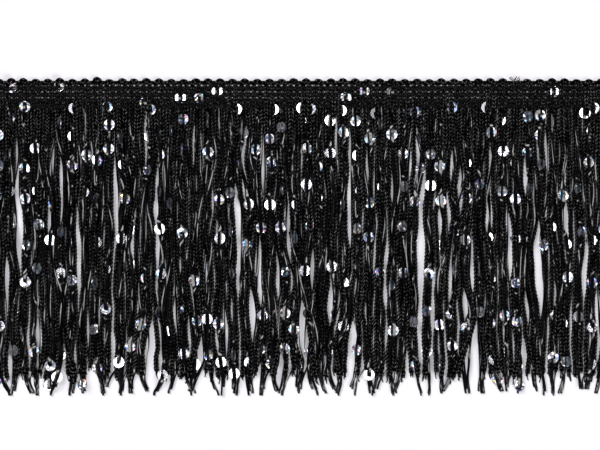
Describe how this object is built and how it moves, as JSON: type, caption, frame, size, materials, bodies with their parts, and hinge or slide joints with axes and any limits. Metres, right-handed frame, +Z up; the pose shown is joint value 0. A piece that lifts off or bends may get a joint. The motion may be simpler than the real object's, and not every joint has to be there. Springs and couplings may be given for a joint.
{
  "type": "sequin fringe trim",
  "caption": "Black crochet-knit trim with a scalloped picot header, a dense fringe of knitted chainette cords and longer film yarns threaded with silver sequins, lying flat.",
  "frame": {"origin": "centre of the header's back face, on the surface the trim lies on", "axes": "+X along the trim, +Y from the fringe to the scalloped edge, +Z up off the surface, out of the trim's face"},
  "size_m": [0.3, 0.1498, 0.0034],
  "materials": {
    "black_header_knit": "matte knit",
    "black_chainette": "matte knit",
    "silver_sequin_film": "mirror gloss"
  },
  "bodies": {
    "root": {"header_tape": "black_header_knit", "chainette_fringe": "black_chainette", "sequin_fringe": "silver_sequin_film"}
  },
  "joints": []
}
